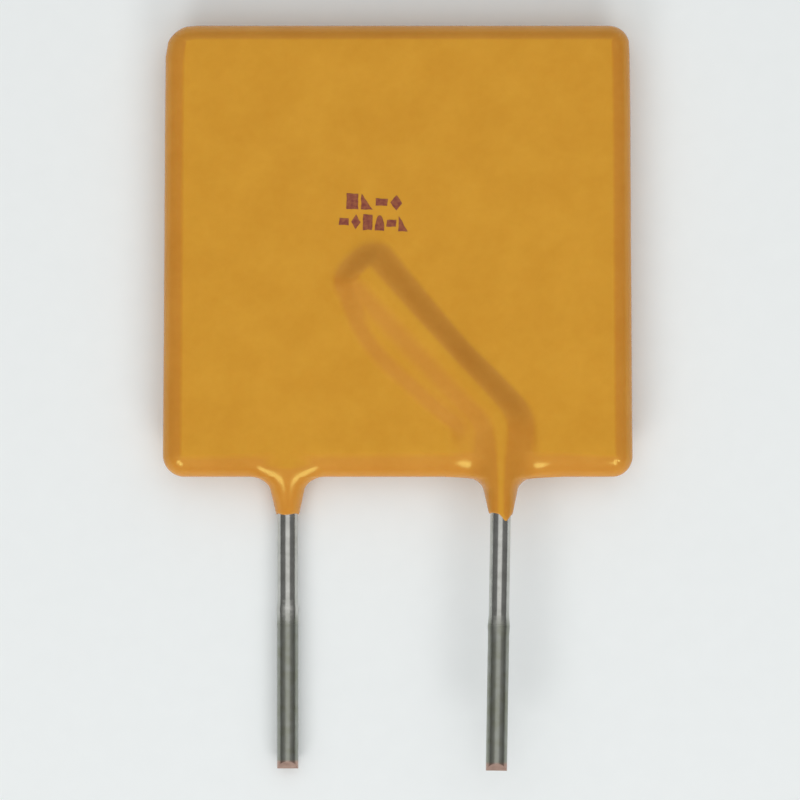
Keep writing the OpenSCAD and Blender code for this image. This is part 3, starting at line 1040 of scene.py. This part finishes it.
@dataclass
class StampedMark:
    """Two rows of plain shapes, stamped in ink on the front face."""

    sizes: FuseSizes
    middle: tuple[float, float] = (-1.13 * MM, 8.84 * MM)
    tilt: float = math.radians(-2.0)
    row_gap: float = 0.98 * MM
    upper: tuple[Glyph, ...] = (Glyph.BLOCK, Glyph.WEDGE, Glyph.BAR, Glyph.LOZENGE)
    lower: tuple[Glyph, ...] = (
        Glyph.BAR, Glyph.LOZENGE, Glyph.BLOCK, Glyph.HALF_DISC, Glyph.BAR, Glyph.WEDGE
    )
    upper_w: float = 2.8 * MM
    lower_w: float = 3.4 * MM
    glyph_h: float = 0.74 * MM
    film: float = 9 * MICRON
    fray: float = 0.035 * MM

    def outline(self, glyph: Glyph, wide: float) -> list[tuple[float, float]]:
        """Returns a shape's outline about its middle.

        Args:
            glyph: The shape.
            wide: Its width.

        Returns:
            The corners, anticlockwise.
        """
        x, y = wide / 2, self.glyph_h / 2
        if glyph is Glyph.BLOCK:
            return [(-x, -y), (x, -y), (x, y), (-x, y)]
        if glyph is Glyph.BAR:
            thin = 0.45
            return [(-x, -y * thin), (x, -y * thin), (x, y * thin), (-x, y * thin)]
        if glyph is Glyph.WEDGE:
            return [(-x, -y), (x, -y), (-x, y)]
        if glyph is Glyph.LOZENGE:
            return [(0, -y), (x, 0), (0, y), (-x, 0)]
        turns = [math.pi * k / 12 for k in range(13)]
        return [(x * math.cos(turn), 2 * y * math.sin(turn) - y) for turn in turns]

    def frayed(self, corners: list[tuple[float, float]], seed: float) -> list[tuple[float, float]]:
        """Cuts an outline into short steps and roughens it, as soaking ink does."""
        step = 0.05 * MM
        result = []
        for (x0, y0), (x1, y1) in zip(corners, corners[1:] + corners[:1]):
            count = max(1, round(math.hypot(x1 - x0, y1 - y0) / step))
            for k in range(count):
                x, y = mix(x0, x1, k / count), mix(y0, y1, k / count)
                place = Vector((x / MM * 4, y / MM * 4, seed))
                shift_x = noise.noise(place) * self.fray
                shift_y = noise.noise(place + Vector((11.3, 5.2, 3.1))) * self.fray
                result.append((x + shift_x, y + shift_y))
        return result

    def build(self, finish: Finish) -> bpy.types.Object:
        """Builds the mark as one piece of thin prisms."""
        points: list[Point] = []
        faces: list[tuple[int, ...]] = []
        face_z = self.sizes.lift + self.sizes.face_z
        for number, (glyphs, width, drop) in enumerate(
            ((self.upper, self.upper_w, 0.5), (self.lower, self.lower_w, -0.5))
        ):
            cell = width / len(glyphs)
            for k, glyph in enumerate(glyphs):
                centre_x = (k + 0.5) * cell - width / 2
                ring = self.frayed(self.outline(glyph, cell * 0.8), 7.0 * number + k)
                first = len(points)
                for z in (face_z - self.film, face_z + self.film):
                    for x, y in ring:
                        px, py = centre_x + x, drop * self.row_gap + y
                        turned_x = px * math.cos(self.tilt) - py * math.sin(self.tilt)
                        turned_y = px * math.sin(self.tilt) + py * math.cos(self.tilt)
                        points.append((self.middle[0] + turned_x, self.middle[1] + turned_y, z))
                count = len(ring)
                faces.append(tuple(first + count + k for k in range(count)))
                faces.append(tuple(first + count - 1 - k for k in range(count)))
                faces += [
                    (first + k, first + (k + 1) % count, first + count + (k + 1) % count,
                     first + count + k)
                    for k in range(count)
                ]
        mesh = bpy.data.meshes.new("stamped_mark")
        mesh.from_pydata(points, [], faces)
        mesh.validate()
        piece = bpy.data.objects.new("stamped_mark", mesh)
        bpy.context.scene.collection.objects.link(piece)
        piece.data.materials.append(finish.make())
        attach(piece, ROOT)
        return piece


@dataclass
class CarriedNodes:
    """The solids that keep their shape and get a finish."""

    finishes: dict[str, Finish]

    def dress(self) -> None:
        """Gives each solid its finish."""
        for name, finish in self.finishes.items():
            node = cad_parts[name]
            material = finish.make()
            for slot in node.material_slots:
                slot.material = material
            LOG.info("dressed %s with %s", name, finish.name)


@dataclass
class Lamp:
    """One soft lamp that points at the middle of the fuse."""

    name: str
    azimuth: float
    elevation: float
    distance: float
    size: tuple[float, float]
    power: float

    def build(self) -> None:
        """Adds the lamp."""
        data = bpy.data.lights.new(self.name, "AREA")
        data.shape = "ELLIPSE"
        data.size, data.size_y = self.size
        data.energy = self.power
        lamp = bpy.data.objects.new(self.name, data)
        level = math.cos(self.elevation) * self.distance
        lamp.location = (
            level * math.sin(self.azimuth),
            -level * math.cos(self.azimuth),
            math.sin(self.elevation) * self.distance,
        )
        lamp.rotation_euler = (-lamp.location).to_track_quat("-Z", "Y").to_euler()
        bpy.context.scene.collection.objects.link(lamp)


@dataclass
class Studio:
    """The pale floor, the lamps, the sky and the camera."""

    picture_px: float = 800
    px_per_mm: float = 20.9
    centre: tuple[float, float] = (0.11 * MM, -0.12 * MM)
    camera_h: float = 0.32
    floor_size: float = 3.0
    lamps: list[Lamp] = field(default_factory=list)
    zenith: float = 0.96
    low_sky: tuple[tuple[float, float], ...] = (
        (0.0, 0.3), (0.42, 0.19), (0.58, 0.19), (0.75, 0.4), (1.0, 0.52)
    )
    sky_height: tuple[tuple[float, float], ...] = ((0.3, 0.0), (0.6, 0.55), (0.9, 1.0))
    beside: tuple[tuple[float, float], ...] = ((0.4, 0.0), (0.46, 1.0), (0.54, 1.0), (0.6, 0.0))
    opening: tuple[tuple[float, float], ...] = ((0.26, 0.0), (0.34, 1.0), (0.66, 1.0), (0.74, 0.0))

    def build_floor(self) -> None:
        """Adds the floor."""
        half = self.floor_size / 2
        mesh = bpy.data.meshes.new("floor")
        corners = [(-half, -half, 0), (half, -half, 0), (half, half, 0), (-half, half, 0)]
        mesh.from_pydata(corners, [], [(0, 1, 2, 3)])
        floor = bpy.data.objects.new("floor", mesh)
        bpy.context.scene.collection.objects.link(floor)
        material, tree, shader = Finish("pale_paper").start()
        value = Finish.noise(tree, Finish.place(tree), 900, 3)
        colour = Finish.ramp(tree, value, [(0.0, srgb(243, 247, 247)), (1.0, srgb(246, 250, 250))])
        tree.links.new(colour, shader.inputs["Base Color"])
        shader.inputs["Roughness"].default_value = 0.9
        shader.inputs["Specular IOR Level"].default_value = 0.1
        mesh.materials.append(material)

    @staticmethod
    def greys(
        tree: bpy.types.NodeTree, value: bpy.types.NodeSocket, stops: list[tuple[float, float]]
    ) -> bpy.types.NodeSocket:
        """Adds a ramp of greys, each given as a place and a brightness, and returns its colour."""
        return Finish.ramp(tree, value, [(place, (grey, grey, grey, 1.0)) for place, grey in stops])

    @staticmethod
    def halved(tree: bpy.types.NodeTree, value: bpy.types.NodeSocket) -> bpy.types.NodeSocket:
        """Adds a value that goes from 0 to 1 where the given one goes from -1 to 1."""
        node = tree.nodes.new("ShaderNodeMapRange")
        node.inputs["From Min"].default_value = -1.0
        tree.links.new(value, node.inputs["Value"])
        return node.outputs["Result"]

    def build_sky(self) -> None:
        """Lights the scene from all round: bright overhead, dim low down and beside the leads."""
        world = bpy.data.worlds.new("studio")
        world.use_nodes = True
        bpy.context.scene.world = world
        tree = world.node_tree
        background = next(n for n in tree.nodes if n.type == "BACKGROUND")
        split = tree.nodes.new("ShaderNodeSeparateXYZ")
        tree.links.new(tree.nodes.new("ShaderNodeTexCoord").outputs["Generated"], split.inputs["Vector"])
        across, along = (self.halved(tree, split.outputs[axis]) for axis in ("X", "Y"))
        low = self.greys(tree, along, self.low_sky)
        high = self.greys(tree, split.outputs["Z"], [(0.0, self.zenith), (1.0, self.zenith)])
        height = self.greys(tree, split.outputs["Z"], self.sky_height)
        white = self.greys(tree, split.outputs["Z"], [(0.0, 1.0), (1.0, 1.0)])
        open_sky = self.greys(tree, across, self.opening)
        kept = Finish.blend(tree, self.greys(tree, along, self.beside), white, open_sky)
        height = Finish.blend(tree, 1.0, height, kept, "MULTIPLY")
        tree.links.new(Finish.blend(tree, height, low, high), background.inputs["Color"])
        background.inputs["Strength"].default_value = 1.0

    def build_camera(self) -> None:
        """Adds the camera, straight above the fuse."""
        data = bpy.data.cameras.new("camera")
        view_w = self.picture_px / self.px_per_mm * MM
        body_middle = 1.7 * MM
        data.lens = data.sensor_width * (self.camera_h - body_middle) / view_w
        data.clip_start = 0.01
        data.clip_end = 10
        camera = bpy.data.objects.new("camera", data)
        camera.location = (*self.centre, self.camera_h)
        bpy.context.scene.collection.objects.link(camera)
        bpy.context.scene.camera = camera
        bpy.context.scene.view_settings.view_transform = "Standard"

    def build(self) -> None:
        """Builds the whole studio."""
        self.build_floor()
        self.build_sky()
        self.build_camera()
        for lamp in self.lamps:
            lamp.build()


def main() -> None:
    """Builds the pieces in order."""
    logging.basicConfig(level=logging.INFO, format="%(message)s")
    sizes = FuseSizes()
    epoxy = DippedEpoxy("dipped_epoxy")
    wire = TinnedWire("tinned_wire")
    foil = HiddenFinish("nickel_foil", srgb(196, 190, 176), srgb(172, 166, 150), 1.0, 0.45, 3000)
    solder = HiddenFinish("tin_solder", srgb(206, 206, 204), srgb(176, 177, 176), 1.0, 0.3, 2200)
    polymer = HiddenFinish("black_polymer", srgb(34, 34, 36), srgb(22, 22, 24), 0.0, 0.7, 4000)

    coating = Coating(sizes).build(epoxy)
    LOG.info("built %s with %d faces", coating.name, len(coating.data.polygons))
    mark = StampedMark(sizes).build(StampInk("stamp_ink"))
    LOG.info("built %s with %d faces", mark.name, len(mark.data.polygons))
    CarriedNodes(
        {
            "front_lead": wire,
            "back_lead": wire,
            "front_foil": foil,
            "back_foil": foil,
            "front_solder": solder,
            "back_solder": solder,
            "polymer_chip": polymer,
        }
    ).dress()
    lamps = [
        Lamp("left_lamp", math.radians(-27), math.radians(31), 0.5, (0.24, 0.13), 0.55),
        Lamp("right_lamp", math.radians(25), math.radians(31), 0.5, (0.24, 0.13), 0.53),
    ]
    Studio(lamps=lamps).build()


if __name__ == "__main__":
    main()
